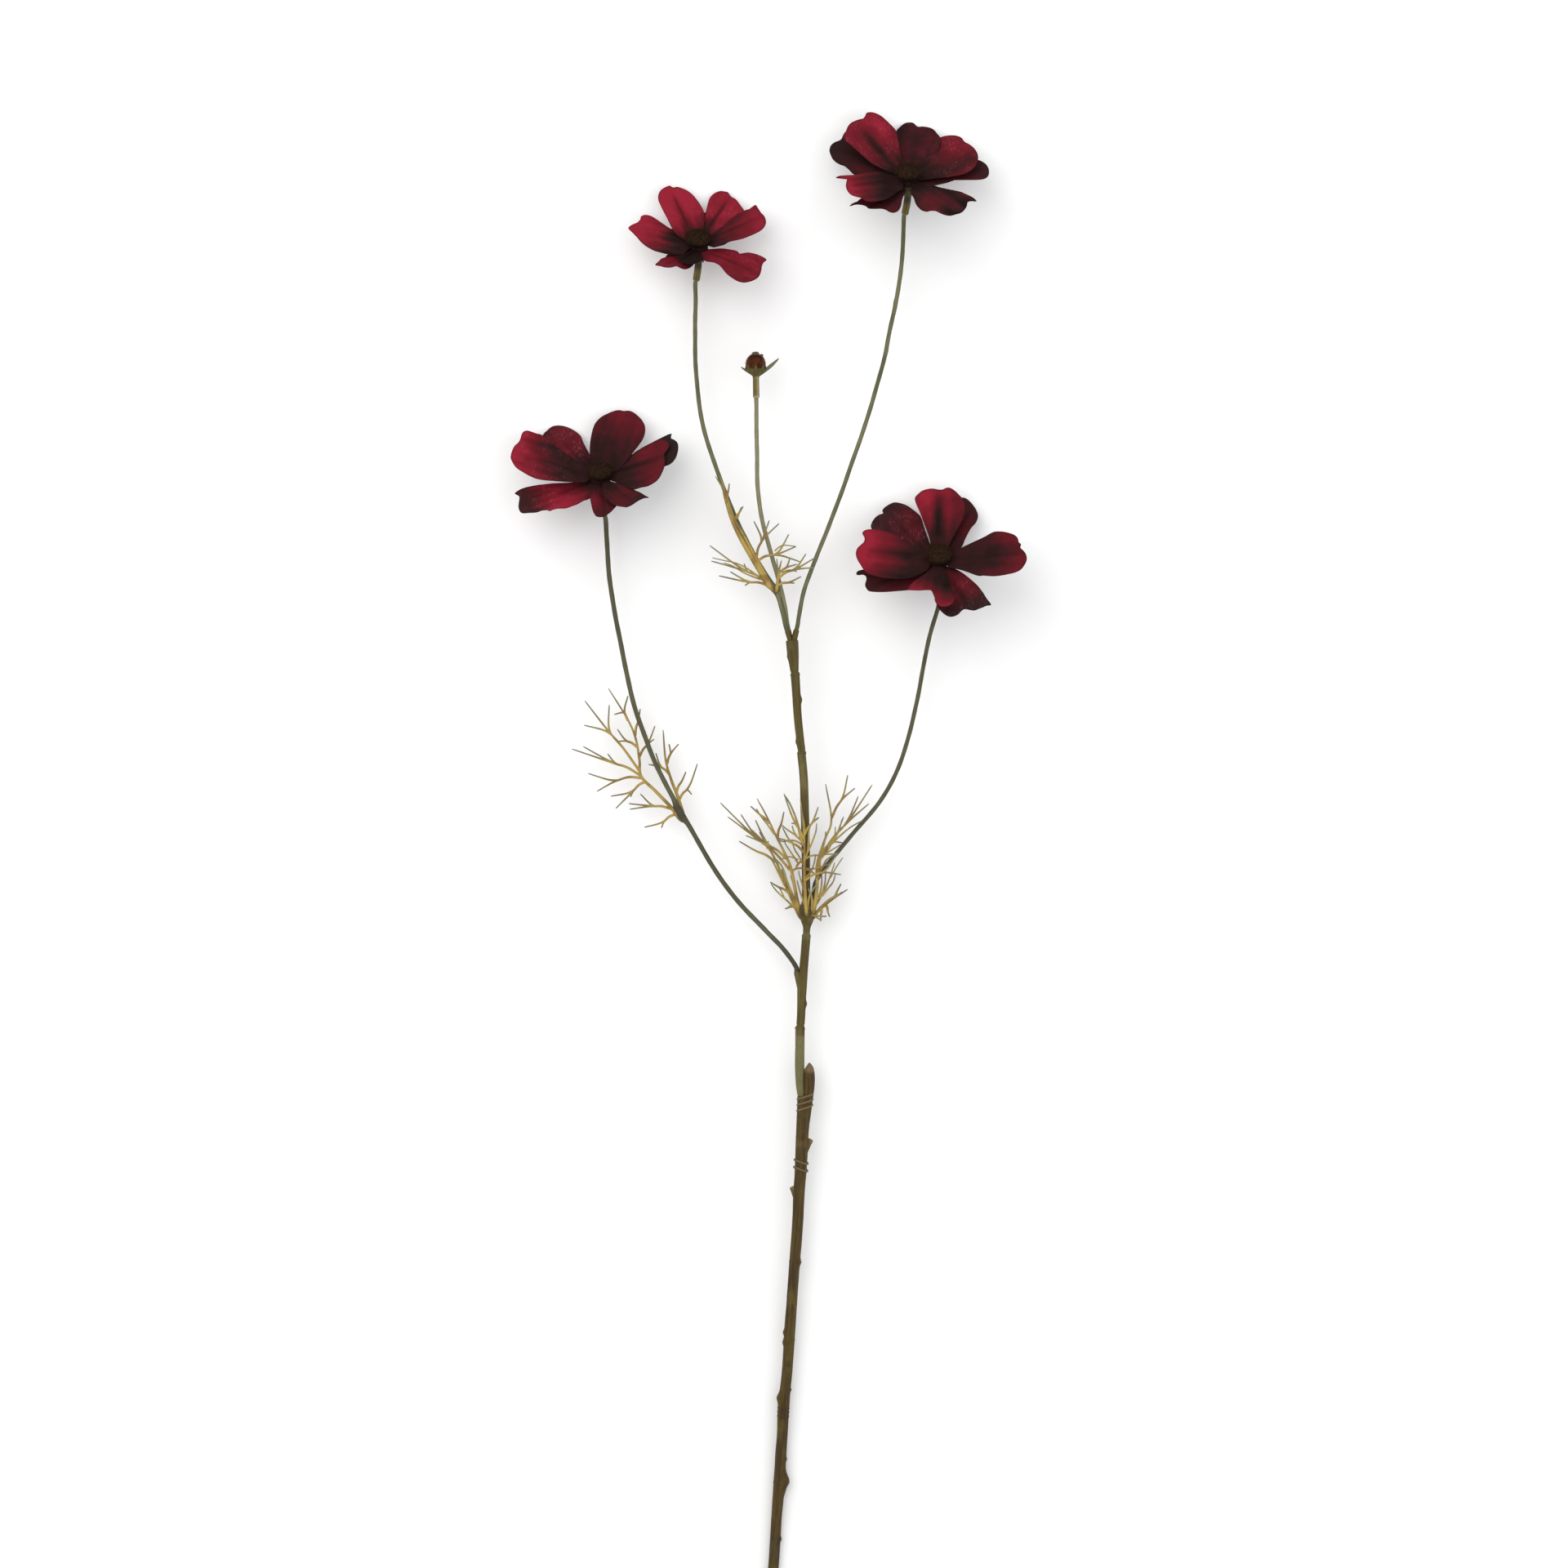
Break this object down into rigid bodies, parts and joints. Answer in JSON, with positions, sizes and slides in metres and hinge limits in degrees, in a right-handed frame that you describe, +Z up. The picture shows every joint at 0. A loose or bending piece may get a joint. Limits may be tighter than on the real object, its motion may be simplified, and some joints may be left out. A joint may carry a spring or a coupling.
{
  "type": "imitation cosmos flower spray",
  "caption": "Branching stem of crimson cosmos with open fabric blooms, a closed bud and feathery leaves, lying on a surface.",
  "frame": {"origin": "on the small flat spot under the stem, 9 mm from its cut end, where the spray rests on a level surface", "axes": "+Y along the stem, from the cut end towards the blooms; +Z up from the surface that the spray lies on; +X to the right, seen from above with the blooms at the top"},
  "size_m": [0.2252, 0.6685, 0.0589],
  "materials": {
    "petal_fabric": "woven fabric with a short soft pile, crimson to dark maroon",
    "disc_flock": "fuzzy dark olive-brown flock",
    "brown_stem": "matt brown plastic over wire, with bark-like streaks",
    "olive_stem": "matt olive-brown plastic over wire",
    "olive_stalk": "matt grey-olive plastic over wire",
    "calyx_green": "matt yellow-green plastic",
    "leaf_ochre": "matt ochre plastic, grey-green at the tips",
    "bud_flock": "fuzzy reddish-brown flock"
  },
  "bodies": {
    "root": {"lower_stem": "brown_stem", "upper_stem": "olive_stem", "stalk_a": "olive_stalk", "stalk_b": "olive_stalk", "stalk_c": "olive_stalk", "stalk_d": "olive_stalk", "stalk_bud": "olive_stalk", "calyx_a": "calyx_green", "calyx_b": "calyx_green", "calyx_c": "calyx_green", "calyx_d": "calyx_green", "petals_a": "petal_fabric", "petals_b": "petal_fabric", "petals_c": "petal_fabric", "petals_d": "petal_fabric", "disc_a": "disc_flock", "disc_b": "disc_flock", "disc_c": "disc_flock", "disc_d": "disc_flock", "bud_calyx": "calyx_green", "bud_head": "bud_flock", "leaf_low_front": "leaf_ochre", "leaf_low_back": "leaf_ochre", "leaf_middle_left": "leaf_ochre", "leaf_middle_left_low": "leaf_ochre", "leaf_middle_front": "leaf_ochre", "leaf_middle_right": "leaf_ochre", "leaf_middle_right_low": "leaf_ochre", "leaf_top_left": "leaf_ochre", "leaf_top_right": "leaf_ochre"}
  },
  "joints": []
}
